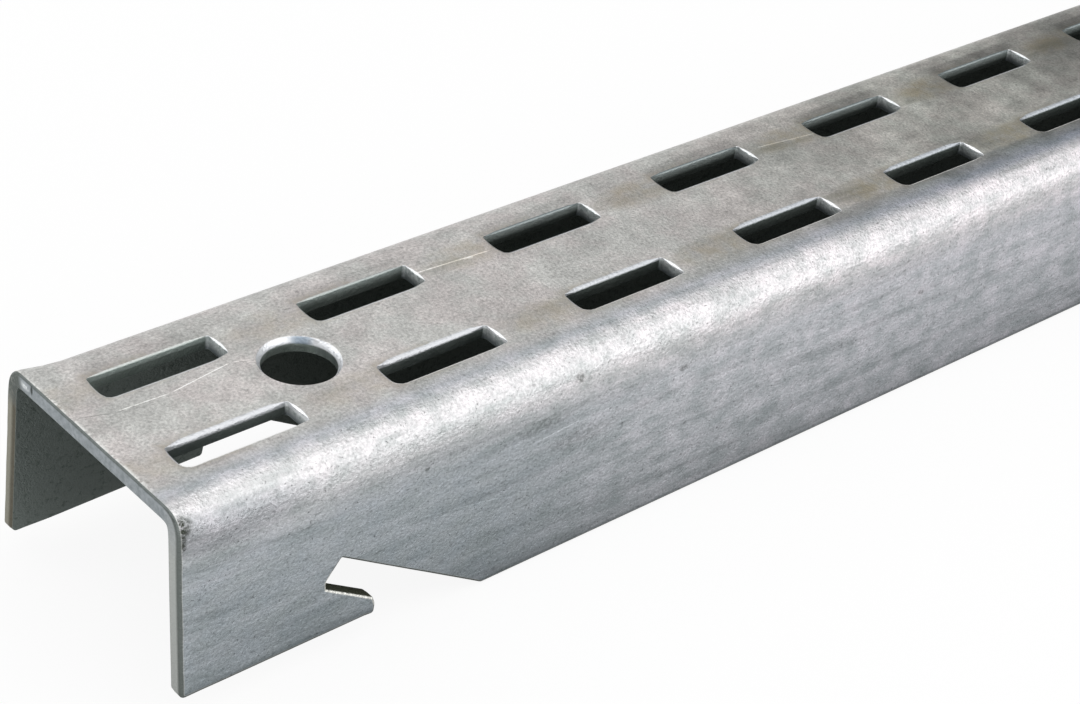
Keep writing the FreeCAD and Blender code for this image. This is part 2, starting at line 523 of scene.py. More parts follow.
def shaded(s, colour, *factors):
    """The colour made darker or lighter by numbers."""
    shade = s.times(*factors)
    return s.mix(1.0, colour, s.combine(shade, shade, shade), "MULTIPLY")


def toned(s, share, colour, factor):
    """The colour multiplied by another one, as far as the share goes."""
    return s.mix(share, colour, s.mix(1.0, colour, factor, "MULTIPLY"))


def textured(s, colour, n, texture):
    """The colour made uneven by the noises of a texture table."""
    return shaded(s, colour, *[s.range(n[name], *limits) for name, *limits in texture])


def spot(s, x, y, centre, halves):
    """1 in the middle of an ellipse, falling smoothly to 0 at its edge."""
    parts = []
    for value, middle, half in zip((x, y), centre, halves):
        away = s.math("ABSOLUTE", s.math("DIVIDE", s.minus(value, middle), half))
        parts.append(s.math("POWER", away, 2.0))
    return s.range(s.plus(*parts), 0.0, 1.0, 1.0, 0.0, smooth=True)


SCRATCH_CORE = 0.4  # share of a scratch's half width that shows in full
SCRATCH_TAPER = 0.6  # length over which it fades at either end


def scratch(s, along, across, begin, finish, width):
    """1 on a thin straight line between two places on the unrolled strip."""
    run = (finish[0] - begin[0], finish[1] - begin[1])
    length = math.hypot(*run)
    unit = (run[0] / length, run[1] / length)
    from_x = s.minus(along, begin[0])
    from_y = s.minus(across, begin[1])
    ahead = s.plus(s.times(from_x, unit[0]), s.times(from_y, unit[1]))
    aside = s.minus(s.times(from_y, unit[0]), s.times(from_x, unit[1]))
    line = s.range(s.math("ABSOLUTE", aside), width * SCRATCH_CORE, width, 1.0, 0.0)
    middle = s.math("ABSOLUTE", s.minus(ahead, length / 2))
    ends = s.range(middle, length / 2 - SCRATCH_TAPER, length / 2, 1.0, 0.0)
    return s.times(line, ends)


def from_bridge(s, along, across):
    """Distances along and across from the middle of the nearest bridge between slots of a row."""
    turns = s.math("DIVIDE", s.minus(along, FIRST_SLOT + SLOT_PITCH / 2), SLOT_PITCH)
    offset = s.minus(s.math("FRACT", s.plus(turns, 0.5)), 0.5)
    to_row = s.minus(s.math("ABSOLUTE", across), ROW_OFFSET)
    return s.times(offset, SLOT_PITCH), to_row


def linear(red, green, blue):
    """Linear colour from 0 to 255 screen values."""
    channels = []
    for channel in (red, green, blue):
        share = channel / 255
        channels.append(share / 12.92 if share <= 0.04045 else ((share + 0.055) / 1.055) ** 2.4)
    return (*channels, 1.0)


# Colours of the zinc skin; those of the inner face are darker as painted shade
WEB_WARM, WEB_COOL = linear(210, 205, 203), linear(205, 205, 202)
FLANGE_DULL, FLANGE_CLEAN = linear(191, 198, 201), linear(206, 206, 211)
INSIDE_SHADE_NEAR, INSIDE_SHADE_DEEP = linear(142, 151, 147), linear(140, 151, 144)
INSIDE_SPECK = linear(110, 120, 114)
STAIN, STAIN_SHADOW, STAIN_HALO = linear(168, 159, 141), linear(132, 132, 120), linear(150, 142, 124)
# painted glint on the burr along the web's cut end
BURR_GLINT = linear(238, 238, 235)
# painted highlight, pure white, on the -Y bend near the hooked end
CORNER_HIGHLIGHT = linear(255, 255, 255)
DARK_SPOT = linear(56, 60, 52)
# Shares of the light that the zinc sends back: some for duller zinc, the others painted shade and painted
# light
# duller zinc in patches beside the hook, and painted shade darkening the flange towards its bottom
PATINA_AND_SHADE = (0.60, 0.66, 0.67, 1.0)
# painted shade dimming the bend's highlight at the hooked corner
CORNER_SHADE = (0.64, 0.65, 0.675, 1.0)
# duller zinc and painted shade: the web darker away from the hooks
WEB_FAR_DULL_AND_SHADE = (0.775, 0.79, 0.755, 1.0)
# painted light: the flange lighter away from the hooks
FLANGE_FAR_LIGHT = (1.08, 1.06, 1.07, 1.0)
EDGE_SHADE = (0.62, 0.64, 0.64, 1.0)
# painted shade: the dark reflection where the web turns into the bend
CREASE_SHADE = (0.46, 0.50, 0.545, 1.0)
# painted highlight on the -Y bend
BEND_HIGHLIGHT = (1.10, 1.055, 1.02, 1.0)
# Textures: noise, its low and high value, and the brightness at each
WEB_TEXTURE = (
    ("grain", 0.30, 0.70, 0.78, 1.15),
    ("speck", 0.30, 0.62, 0.86, 1.06),
    ("blotch", 0.32, 0.66, 0.84, 1.09),
    ("cloud", 0.38, 0.62, 0.90, 1.06),
    ("pin", 0.63, 0.72, 1.0, 0.76),
)
WEB_FAR_TEXTURE = (
    ("blotch", 0.36, 0.62, 0.90, 1.06),
    ("cloud", 0.40, 0.60, 0.88, 1.08),
)
FLANGE_TEXTURE = (
    ("grain", 0.30, 0.70, 0.86, 1.11),
    ("speck", 0.30, 0.62, 0.90, 1.06),
    ("streak", 0.32, 0.58, 0.87, 1.05),
    ("blotch", 0.34, 0.62, 0.86, 1.06),
    ("line", 0.54, 0.68, 1.0, 0.86),
    ("pin", 0.62, 0.72, 1.0, 0.74),
    ("pit", 0.68, 0.76, 1.0, 0.50),
)
# Single spots, some of them marks and some painted shade and highlight: middle and half sizes, stains from
# the middle of a bridge, others on the unrolled strip
STAIN_SPOT = ((1.4, 0.0), (7.6, 3.0))
STAIN_SHADOW_SPOT = ((-1.0, -0.6), (8.0, 1.8))
# painted shade darkening the web's far end
FAR_WEB_SHADE_SPOT = ((162.0, 4.0), (26.0, 13.0))
CORNER_SHADE_SPOT = ((4.0, -16.3), (15.0, 3.0))
CORNER_HIGHLIGHT_SPOT = ((7.0, -13.3), (14.0, 1.5))
# Scratches on the outer face: from, to (along and across the unrolled strip), half width, brightness
SCRATCHES = (
    ((0.8, 3.3), (4.2, 2.2), 0.07, 0.55),
    ((4.4, 2.3), (10.5, 2.1), 0.09, 1.8),
    ((10.5, 2.1), (18.4, 3.3), 0.09, 1.8),
    ((18.4, 3.3), (21.0, 2.6), 0.07, 1.5),
    ((44.8, 6.6), (54.7, 6.0), 0.12, 1.75),
    ((50.9, 6.1), (52.6, 5.9), 0.20, 1.6),
    ((97.2, 7.1), (106.4, 5.9), 0.11, 1.75),
    ((62.6, 4.0), (64.5, 3.2), 0.12, 1.4),
    ((43.5, -21.9), (50.5, -21.3), 0.08, 1.35),
    ((28.8, -25.0), (39.5, -26.9), 0.08, 1.3),
    ((53.6, -15.6), (61.0, -16.6), 0.12, 0.78),
    ((93.0, -25.4), (109.4, -25.5), 0.35, 0.90),
    ((93.3, -20.4), (108.8, -19.4), 0.35, 0.90),
)
# Dark marks: place, half sizes, strength
DARK_SPOTS = (
    ((49.9, -16.2), (0.9, 0.7), 0.65),
    ((65.2, -20.3), (0.8, 0.5), 0.5),
    ((44.5, -20.0), (5.5, 1.0), 0.30),
    ((50.5, -23.4), (6.0, 1.6), 0.28),
    ((104.7, -24.0), (0.8, 0.5), 0.5),
    ((0.6, -15.1), (1.5, 1.4), 1.0),
    ((0.4, -16.6), (0.7, 1.7), 0.95),
    ((29.5, -19.4), (0.4, 0.3), 0.7),
)


# Shares of the length that stretched noises see, and the heights that keep flat noises apart
STREAK_SQUEEZE, LINE_SQUEEZE, PIN_SQUEEZE = 0.16, 0.05, 0.6
STREAK_SLICE, TINT_SLICE, LINE_SLICE, PIN_SLICE, PIT_SLICE = 0.0, 3.0, 5.0, 7.0, 11.0


def face_relief(s, along, across, place):
    """Noises of the zinc skin: scale, detail and roughness, and for the streaks a distortion."""
    streaks = s.combine(s.times(along, STREAK_SQUEEZE), across, STREAK_SLICE)
    lines = s.combine(s.times(along, LINE_SQUEEZE), across, LINE_SLICE)
    pins = s.combine(s.times(along, PIN_SQUEEZE), across, PIN_SLICE)
    return {
        "grain": s.noise(place, 3.0, 2.0, 0.65),
        "speck": s.noise(place, 1.5, 3.0, 0.70),
        "blotch": s.noise(place, 0.33, 4.0, 0.62),
        "cloud": s.noise(place, 0.10, 3.0, 0.60),
        "streak": s.noise(streaks, 0.62, 4.0, 0.64, 0.3),
        "line": s.noise(lines, 0.9, 3.0, 0.60),
        "tint": s.noise(s.combine(across, along, TINT_SLICE), 0.17, 3.0, 0.60),
        "pin": s.noise(pins, 1.9, 2.0, 0.55),
        "pit": s.noise(s.combine(along, across, PIT_SLICE), 3.6, 1.0, 0.50),
    }


# How the finish changes: from and to, as places on the unrolled strip, depths or values of a noise,
# then the results there where they aren't 0 and 1
WEB_TINT = (0.40, 0.60)
STAINS_GROW = (20.0, 110.0, 0.40, 0.95)
STAIN_PATCHES, STAIN_SHADOW_STREAKS = (0.36, 0.60), (0.40, 0.62)
STAIN_SHADOW_SHARE = 0.6
HALO_REACH, HALO_FROM_BRIDGE = (0.3, 1.3, 1.0, 0.0), (-4.5, -1.0, 0.1, 1.0)
HALO_SPECKS, HALO_PATCHES = (0.34, 0.56), (0.3, 0.6, 0.2, 0.7)
# the band of painted shade beside the +Y row
BAND_PAST_ROW = 2.7
BAND_SIDES, BAND_PAST_SLOT = (0.5, 1.3, 1.0, 0.0), (6.6, 8.4, 1.0, 0.0)
BAND_GROWS, BAND_FADES = (60.0, 145.0, 0.15, 0.45), (175.0, 210.0, 1.0, 0.5)
FAR_WEB_SHADE_SHARE = 0.36
WEB_DULLS_AND_SHADES = (60.0, 132.0)
BURR_REACH, BURR_PINS = (0.3, 0.65, 1.0, 0.0), (0.46, 0.56)
CREASE_BEGINS, CREASE_DEEPENS = (-8.3, -8.9), (-8.9, -10.6, 0.78, 1.0)
CREASE_RAGGED, CREASE_ENDS = 1.2, (-10.4, -12.8, 1.0, 0.0)
CREASE_GROWS, CREASE_STREAKS = (60.0, 130.0, 0.18, 1.0), (0.25, 0.55, 0.7, 1.0)
FLANGE_STREAK_SHARE, FLANGE_TONE = 0.7, (0.62, 1.04)
PATINA_FADES, PATINA_PATCHES = (34.0, 66.0, 1.0, 0.0), (0.2, 0.65)
PATINA_BELOW_BEND, PATINA_SHARE = (-14.0, -21.0), 0.9
# painted shade: the flange darker towards its bottom edge
PAINTED_SHADE_AT_BOTTOM = (-22.0, -34.0, 0.0, 0.26)
CORNER_SHADE_SHARE, CORNER_HIGHLIGHT_SHARE = 0.90, 0.16
BEND_HIGHLIGHT_BEGINS, BEND_HIGHLIGHT_ENDS = (-11.2, -12.6), (-17.0, -20.5, 1.0, 0.0)
FLANGE_BRIGHTENS = (45.0, 120.0)
EDGE_LINE = (-0.7, -0.35)
HOOK_LINE_EXTRA = 0.3  # how much higher the dull border is on the hook
DARK_SPOT_SPECKS = (0.44, 0.58, 1.0, 0.4)


def stained(s, base, along, across, n):
    """The colour with brown stains between and round the slots, a painted shadow along the rows and a band
    of painted shade beside the +Y row, stronger away from the hooks.
    """
    offset, to_row = from_bridge(s, along, across)
    farther = s.range(along, *STAINS_GROW)
    patches = s.range(n["blotch"], *STAIN_PATCHES)
    stain = s.times(spot(s, offset, to_row, *STAIN_SPOT), patches, farther)
    base = s.mix(stain, base, STAIN)
    # painted shadow in streaks along the rows
    streaks = s.range(n["streak"], *STAIN_SHADOW_STREAKS)
    shadow = s.times(spot(s, offset, to_row, *STAIN_SHADOW_SPOT), streaks, farther)
    base = s.mix(s.times(shadow, STAIN_SHADOW_SHARE), base, STAIN_SHADOW)
    from_slot = s.minus(SLOT_PITCH / 2, s.math("ABSOLUTE", offset))
    past_end = s.minus(from_slot, SLOT_LENGTH / 2)
    past_side = s.minus(s.math("ABSOLUTE", to_row), SLOT_WIDTH / 2)
    halo = s.times(s.range(s.math("MAXIMUM", past_end, past_side), *HALO_REACH),
                   s.range(n["speck"], *HALO_SPECKS), s.range(n["blotch"], *HALO_PATCHES),
                   s.range(offset, *HALO_FROM_BRIDGE))
    base = s.mix(halo, base, STAIN_HALO)
    # painted shade in a band beside the +Y row, growing away from the hooks
    from_band = s.math("ABSOLUTE", s.minus(across, ROW_OFFSET + BAND_PAST_ROW))
    painted_shade_band = s.times(s.range(from_band, *BAND_SIDES, smooth=True),
                        s.range(from_slot, *BAND_PAST_SLOT),
                        s.range(along, *BAND_GROWS), s.range(along, *BAND_FADES))
    return shaded(s, base, rest_of(s, painted_shade_band))


def web_colour(s, along, across, n):
    """The web's outer face: warm pale zinc with stains, duller zinc and painted shade away from the hooks,
    and a painted glint on the burr at the hooked end.
    """
    light = s.mix(s.range(n["tint"], *WEB_TINT), WEB_WARM, WEB_COOL)
    base = textured(s, light, n, WEB_TEXTURE)
    base = stained(s, base, along, across, n)
    # painted shade darkening the web's far end
    far_web_shade = spot(s, along, across, *FAR_WEB_SHADE_SPOT)
    base = shaded(s, base, rest_of(s, s.times(far_web_shade, FAR_WEB_SHADE_SHARE)))
    # duller zinc and painted shade away from the hooks
    dull = s.range(along, *WEB_DULLS_AND_SHADES, smooth=True)
    base = toned(s, dull, base, WEB_FAR_DULL_AND_SHADE)
    base = s.mix(dull, base, textured(s, base, n, WEB_FAR_TEXTURE))
    # painted glint on the burr at the hooked end
    burr = s.times(s.range(along, *BURR_REACH), s.range(n["pin"], *BURR_PINS))
    return s.mix(burr, base, BURR_GLINT)


def crease_shade_band(s, along, across, n):
    """1 on the band of painted shade, a dark reflection where the web turns into the bend beside the slots,
    stronger away from the hooks.
    """
    begins = s.times(s.range(across, *CREASE_BEGINS), s.range(across, *CREASE_DEEPENS))
    ragged = s.plus(across, s.times(n["streak"], CREASE_RAGGED))
    ends = s.range(ragged, *CREASE_ENDS, smooth=True)
    strength = s.range(along, *CREASE_GROWS, smooth=True)
    return s.times(begins, ends, strength, s.range(n["streak"], *CREASE_STREAKS))


def flange_colour(s, along, across, n):
    """The -Y flange's outer face: streaky zinc, duller beside the hook, with painted shade towards the
    bottom and at the hooked corner, a painted highlight on the bend and painted light away from the hooks.
    """
    streaks = s.times(n["streak"], FLANGE_STREAK_SHARE)
    tone = s.range(s.plus(n["blotch"], streaks), *FLANGE_TONE)
    base = textured(s, s.mix(tone, FLANGE_DULL, FLANGE_CLEAN), n, FLANGE_TEXTURE)
    near_end = s.times(s.range(along, *PATINA_FADES, smooth=True),
                       s.range(n["blotch"], *PATINA_PATCHES), s.range(across, *PATINA_BELOW_BEND))
    # painted shade, darker towards the flange's bottom, added to the patina beside the hook
    bottom_shade = s.range(across, *PAINTED_SHADE_AT_BOTTOM)
    patina = s.plus(s.times(near_end, PATINA_SHARE), bottom_shade, clamp=True)
    base = toned(s, patina, base, PATINA_AND_SHADE)
    # painted shade dimming the bend's highlight at the hooked corner
    corner = spot(s, along, across, *CORNER_SHADE_SPOT)
    base = toned(s, s.times(corner, CORNER_SHADE_SHARE), base, CORNER_SHADE)
    # painted highlight across the -Y bend
    bend_highlight = s.times(s.range(across, *BEND_HIGHLIGHT_BEGINS), s.range(across, *BEND_HIGHLIGHT_ENDS))
    base = toned(s, bend_highlight, base, BEND_HIGHLIGHT)
    # painted highlight on the bend near the hooked end
    corner_highlight = spot(s, along, across, *CORNER_HIGHLIGHT_SPOT)
    base = s.mix(s.times(corner_highlight, CORNER_HIGHLIGHT_SHARE), base, CORNER_HIGHLIGHT)
    # painted light on the flange, growing away from the hooks
    bright = s.range(along, *FLANGE_BRIGHTENS, smooth=True)
    base = toned(s, bright, base, FLANGE_FAR_LIGHT)
    return toned(s, edge_line(s, along, across), base, EDGE_SHADE)


def edge_line(s, along, across):
    """1 on the thin border of painted shade on the flange's outer face, above its bottom edge and the
    hook's.
    """
    hook = s.math("LESS_THAN", along, TOOTH_REACH)
    rise = s.times(hook, unrolled(DEPTH) - unrolled(FRONT_DEPTH))
    below = s.minus(s.times(across, -1.0), unrolled(DEPTH))
    below = s.plus(below, rise)
    starts, full = EDGE_LINE
    return s.range(below, s.minus(starts, s.times(hook, HOOK_LINE_EXTRA)), full)


# Colours of the slots' walls, plain and scraped
NEAR_ROW_WALL = (linear(80, 88, 85), linear(112, 119, 115))
NEAR_HOOK_WALL = (linear(96, 104, 102), linear(130, 138, 135))
# painted light: the +Y row's walls and the far ends' walls paler than the -Y row's
FAR_ROW_WALL = (linear(112, 122, 117), linear(150, 159, 154))
END_WALL = (linear(176, 184, 184), linear(228, 232, 232))
# What those walls turn into with depth, and away from the hooks: painted light at the top, painted shade
# deeper down
FAR_ROW_WALL_TOP_LIGHT = linear(160, 170, 166)
LATER_WALL_TOP_LIGHT = linear(170, 178, 178)
LATER_WALL, LATER_WALL_DEEP_SHADE = linear(146, 154, 151), linear(84, 91, 87)
END_WALL_DEEP_SHADE = linear(124, 131, 134)
# Colours of the edges that the punch pulled down
RIM_NEAR_HOOK, RIM_LATER = linear(198, 200, 203), linear(178, 183, 188)
# painted shade: the +Y row's edges darker away from the hooks
FAR_ROW_RIM, FAR_ROW_RIM_SHADE = linear(192, 195, 192), linear(108, 116, 118)
# painted highlights on the -Y row's outer edges and the slots' far ends
LOW_RIM_HIGHLIGHT, END_RIM_HIGHLIGHT = linear(236, 236, 232), linear(246, 248, 250)
# painted highlight round the holes, and a painted reflection on the +Y side of the first one
HOLE_RIM_HIGHLIGHT, HOLE_RIM_REFLECTION = linear(228, 230, 233), linear(150, 162, 174)
HOLE_REFLECTION_SPOT = ((FIRST_HOLE + 2.6, 3.2), (1.5, 1.5))
RIM_BLUR = 0.16  # depth over which a rim's colour turns into its wall's
# Where those colours lie, in the same way
SCRAPED_LINES, END_WALL_SPECKS = (0.35, 0.65), (0.35, 0.60)
NEAR_HOOK_WALLS, LATER_WALLS = (50.0, 30.0), (25.0, 60.0)
FAR_ROW_TOP, LATER_DEEPENS, LATER_TOP = (0.75, 0.55), (0.80, 1.20), (0.30, 0.60, 0.7, 0.0)
END_WALL_DEEPENS = (0.6, 1.5)
RIM_CHANGES = (40.0, 110.0)
RIM_DEPTH = (25.0, 50.0, 0.48, 0.22)
FAR_ROW_RIM_DEPTH = 0.01
HOLE_BORDER = HOLE_RADIUS + HOLE_ROLL[0] + 0.03
FAR_ROW_FROM = 2.0  # across, between the hole and the +Y row
LOW_RIM_FROM = -ROW_OFFSET - 1.0
FAR_END_WALL, FAR_END_REACH = (-0.34, -0.18), 2.0  # past a slot's far end


def slot_wall_colour(s, along, depth, far_row, later, far_end, n):
    """Scraped steel of the slots' walls, with painted light: paler in the +Y row and at the far ends, paler
    at the top of the +Y row's walls, and darker deeper down as painted shade.
    """
    scraped = s.range(n["line"], *SCRAPED_LINES)
    wall = s.mix(scraped, *NEAR_ROW_WALL)
    wall = s.mix(s.range(along, *NEAR_HOOK_WALLS), wall, s.mix(scraped, *NEAR_HOOK_WALL))
    far_row_wall = s.mix(scraped, *FAR_ROW_WALL)
    # painted light at the top of the +Y row's walls
    far_row_wall = s.mix(s.range(depth, *FAR_ROW_TOP), far_row_wall, FAR_ROW_WALL_TOP_LIGHT)
    wall = s.mix(far_row, wall, far_row_wall)
    # painted shade deeper down and painted light near the top, on the +Y row's walls away from the hooks
    later_wall = s.mix(s.range(depth, *LATER_DEEPENS), LATER_WALL, LATER_WALL_DEEP_SHADE)
    wall = s.mix(later, wall, s.mix(s.range(depth, *LATER_TOP), later_wall, LATER_WALL_TOP_LIGHT))
    # painted light on the far ends' walls, and painted shade deeper down
    end_wall = s.mix(s.range(n["speck"], *END_WALL_SPECKS), *END_WALL)
    end_wall = s.mix(s.range(depth, *END_WALL_DEEPENS), end_wall, END_WALL_DEEP_SHADE)
    return s.mix(far_end, wall, end_wall)


def rim_colour(s, along, across, far_row, later, far_end, in_hole):
    """Pulled edges of the slots and the screw holes, with painted highlights on the -Y row's outer edges,
    the slots' far ends and the holes, painted shade on the +Y row's edges away from the hooks and a painted
    reflection on the first hole's edge.
    """
    colour = s.mix(s.range(along, *RIM_CHANGES), RIM_NEAR_HOOK, RIM_LATER)
    colour = s.mix(far_row, colour, FAR_ROW_RIM)
    # painted shade on the +Y row's edges away from the hooks
    colour = s.mix(later, colour, FAR_ROW_RIM_SHADE)
    # painted highlights on the -Y row's outer edges and the slots' far ends
    colour = s.mix(s.math("LESS_THAN", across, LOW_RIM_FROM), colour, LOW_RIM_HIGHLIGHT)
    colour = s.mix(far_end, colour, END_RIM_HIGHLIGHT)
    # painted highlight round the holes, with a painted reflection on the +Y side of the first one
    hole_rim = s.mix(spot(s, along, across, *HOLE_REFLECTION_SPOT), HOLE_RIM_HIGHLIGHT, HOLE_RIM_REFLECTION)
    return s.mix(in_hole, colour, hole_rim)


def cut_colour(s, along, across, depth, n):
    """The walls that the punch left: a pulled edge, then scraped steel."""
    in_hole = s.math("LESS_THAN", s.math("ABSOLUTE", across), HOLE_BORDER)
    far_row = s.math("GREATER_THAN", across, FAR_ROW_FROM)
    later = s.times(far_row, s.range(along, *LATER_WALLS))
    rim_to = s.range(along, *RIM_DEPTH)
    shallower = s.times(far_row, s.minus(rim_to, FAR_ROW_RIM_DEPTH))
    rim_to = s.minus(rim_to, shallower)
    rim_to = s.plus(rim_to, s.times(in_hole, s.minus(HOLE_ROLL[1], rim_to)))
    on_rim = s.range(s.minus(depth, rim_to), 0.0, RIM_BLUR, 1.0, 0.0)
    offset = from_bridge(s, along, across)[0]
    past_far_end = s.plus(offset, SLOT_PITCH / 2 - SLOT_LENGTH / 2 - SLOT_OVERCUT[1])
    within_reach = s.math("LESS_THAN", past_far_end, FAR_END_REACH)
    far_end = s.times(s.range(past_far_end, *FAR_END_WALL), within_reach, rest_of(s, in_hole))
    wall = slot_wall_colour(s, along, depth, far_row, later, far_end, n)
    rim = rim_colour(s, along, across, far_row, later, far_end, in_hole)
    return s.mix(on_rim, wall, rim)


# Colours of the strip's own cut edges
BROKEN_DARK, BROKEN_PALE = linear(146, 153, 156), linear(170, 176, 180)
FAR_FLANGE_END, FAR_FLANGE_END_DEEP = linear(152, 150, 138), linear(104, 100, 88)
NEAR_FLANGE_END = linear(186, 189, 186)
# painted shade on the pulled edge along the outer face
PULLED_EDGE_SHADE = linear(92, 98, 95)
END_CREASE = linear(100, 106, 102)
# painted glint on a burr of the cut end
END_BURR_GLINT, END_BURR_SPOT = linear(232, 236, 236), ((11.5, 0.8), (1.0, 0.6))
END_CRACK, END_CRACK_SPOT = linear(70, 76, 74), ((10.3, 0.6), (0.28, 0.7))
TOOTH_RIM, TOOTH_WALL = linear(226, 226, 220), linear(92, 95, 82)
# Where those lie, and their shares
FAR_END_BEND, NEAR_END_BEND = (BEND_START + 2.0, BEND_END - 1.0), (-BEND_START - 2.5, -BEND_END + 0.5)
END_SPECKS, END_DEEPENS = (0.35, 0.65), (0.85, 1.25)
PULLED_DEPTH, PULLED_EXTRA = 0.24, 0.26  # and how much deeper on the -Y flange
PULLED_FADES, PULLED_SHARE = (0.5, 1.2, 1.0, 0.0), 0.9
CREASE_FROM, CREASE_TO = (12.2, 13.0), (16.5, 18.5, 1.0, 0.0)
CREASE_SPECKS, BURR_SPECKS = (0.3, 0.5), (0.6, 0.4)
TOOTH_RIM_ENDS = (0.09, 0.18)
NOTCH_FROM, NOTCH_TO = NOTCH_X - 4.0, 24.0


def end_colour(s, along, across, depth, n):
    """The cropped ends and sheared edges: painted shade along the outer face's pulled edge, paler where the
    metal broke, with a painted glint on the burr.
    """
    pale = s.mix(s.range(n["speck"], *END_SPECKS), BROKEN_DARK, BROKEN_PALE)
    far_flange = s.mix(s.range(depth, *END_DEEPENS), FAR_FLANGE_END, FAR_FLANGE_END_DEEP)
    pale = s.mix(s.range(across, *FAR_END_BEND), pale, far_flange)
    on_near = s.range(across, *NEAR_END_BEND)
    pale = s.mix(on_near, pale, NEAR_FLANGE_END)
    # painted shade on the pulled edge, deeper on the -Y flange
    dark_to = s.plus(PULLED_DEPTH, s.times(on_near, PULLED_EXTRA))
    dark = s.range(s.math("DIVIDE", depth, dark_to), *PULLED_FADES)
    colour = s.mix(s.times(dark, PULLED_SHARE), pale, PULLED_EDGE_SHADE)
    crease = s.times(s.range(across, *CREASE_FROM), s.range(across, *CREASE_TO))
    colour = s.mix(s.times(crease, s.range(n["speck"], *CREASE_SPECKS)), colour, END_CREASE)
    # painted glint on a burr of the cut end
    burr = spot(s, across, depth, *END_BURR_SPOT)
    colour = s.mix(s.times(burr, s.range(n["speck"], *BURR_SPECKS)), colour, END_BURR_GLINT)
    colour = s.mix(spot(s, across, depth, *END_CRACK_SPOT), colour, END_CRACK)
    tooth = s.mix(s.range(depth, *TOOTH_RIM_ENDS), TOOTH_RIM, TOOTH_WALL)
    return s.mix(on_tooth(s, along, across), colour, tooth)


def on_tooth(s, along, across):
    """1 on the cut edge of the tooth, below the middle of the notch."""
    away = s.math("ABSOLUTE", across)
    past_front = s.math("GREATER_THAN", along, NOTCH_FROM)
    in_notch = s.times(past_front, s.math("LESS_THAN", along, NOTCH_TO))
    above_edge = s.math("LESS_THAN", away, unrolled(FRONT_DEPTH - FRONT_BAND))
    past_corner = s.minus(along, NOTCH_X)
    notch_middle = unrolled(NOTCH_DROP) + NOTCH_GAP / 2
    middle = s.plus(s.times(past_corner, math.tan(NOTCH_SLANT)), notch_middle)
    return s.times(in_notch, above_edge, s.math("GREATER_THAN", away, middle))


def marked(s, base, along, across, on_face, n):
    """The colour with the scratches and dark spots of the outer face."""
    for begin, finish, width, brightness in SCRATCHES:
        line = s.times(scratch(s, along, across, begin, finish, width), on_face)
        base = toned(s, line, base, (brightness, brightness, brightness, 1.0))
    ragged = s.range(n["speck"], *DARK_SPOT_SPECKS)
    for place, halves, strength in DARK_SPOTS:
        share = s.times(spot(s, along, across, place, halves), on_face, ragged, strength)
        base = s.mix(share, base, DARK_SPOT)
    return base


# How the parts of the finish meet
SKIN_WAVER, ON_FLANGE = 1.5, (10.0, 12.2)  # the two skins meet in an uneven line on the bend
ON_FACE = (0.0, 0.1, 1.0, 0.0)
ON_INNER = (SHEET * 0.97, SHEET * 0.995)
INSIDE_CHANGES, INSIDE_SPECKS = (10.0, 45.0), (0.34, 0.46, 0.8, 0.0)
ON_CUT, ON_WALL = (0.0, 0.2), (0.6, 1.0)
SPECK_ROUGHNESS, STREAK_ROUGHNESS = (0.3, 0.7, 0.43, 0.31), (0.3, 0.7, -0.03, 0.03)
GRAIN_RELIEF, SPECK_RELIEF = 0.8, 1.2
BUMP_STRENGTH = 0.6
BUMP_HEIGHT = 0.0001  # metres
WALL_ROUGHNESS = 0.24  # how much rougher a cut wall is than the skin


def zinc_roughness(s, cut, inner, n):
    """Uneven roughness of the skin, higher on the cut walls."""
    skin = s.plus(s.range(n["speck"], *SPECK_ROUGHNESS), s.range(n["streak"], *STREAK_ROUGHNESS))
    on_wall = s.times(s.range(cut, *ON_WALL), rest_of(s, inner))
    return s.plus(skin, s.times(on_wall, WALL_ROUGHNESS))


def zinc_finish():
    """The whole strip's material: skin, marks, inside and cut walls."""
    material = bpy.data.materials.new("galvanised_zinc")
    s = Shader(material)
    shader = s.node("BsdfPrincipled")
    output = s.node("OutputMaterial")
    s.link(shader.outputs[0], output.inputs["Surface"])

    along, across, depth, cut, outer_edge = [s.attribute(name) for name in MARKS]
    n = face_relief(s, along, across, s.combine(along, across, depth))

    towards_near = s.plus(s.times(across, -1.0), s.times(n["blotch"], SKIN_WAVER))
    on_flange = s.range(towards_near, *ON_FLANGE, smooth=True)
    base = s.mix(on_flange, web_colour(s, along, across, n), flange_colour(s, along, across, n))
    # painted shade where the web turns into the bend
    base = toned(s, crease_shade_band(s, along, across, n), base, CREASE_SHADE)
    on_face = s.range(depth, *ON_FACE)
    base = marked(s, base, along, across, on_face, n)

    inner = s.range(depth, *ON_INNER)
    # painted shade: the inner face darker than the outer skin
    inside = s.mix(s.range(along, *INSIDE_CHANGES), INSIDE_SHADE_NEAR, INSIDE_SHADE_DEEP)
    inside = s.mix(s.range(n["speck"], *INSIDE_SPECKS), inside, INSIDE_SPECK)
    wall = s.mix(outer_edge, cut_colour(s, along, across, depth, n), end_colour(s, along, across, depth, n))
    base = s.mix(s.range(cut, *ON_CUT), base, wall)
    base = s.mix(inner, base, inside)
    s.link(base, shader.inputs["Base Color"])
    s.feed(shader.inputs["Metallic"], 1.0)
    s.link(zinc_roughness(s, cut, inner, n), shader.inputs["Roughness"])

    bump = s.node("Bump")
    s.feed(bump.inputs["Strength"], BUMP_STRENGTH)
    s.feed(bump.inputs["Distance"], BUMP_HEIGHT)
    grain = s.times(n["grain"], GRAIN_RELIEF)
    relief = s.plus(grain, s.times(n["speck"], SPECK_RELIEF))
    s.link(relief, bump.inputs["Height"])
    s.link(bump.outputs[0], shader.inputs["Normal"])
    return material


def new_object(name, data):
    thing = bpy.data.objects.new(name, data)
    bpy.context.scene.collection.objects.link(thing)
    return thing


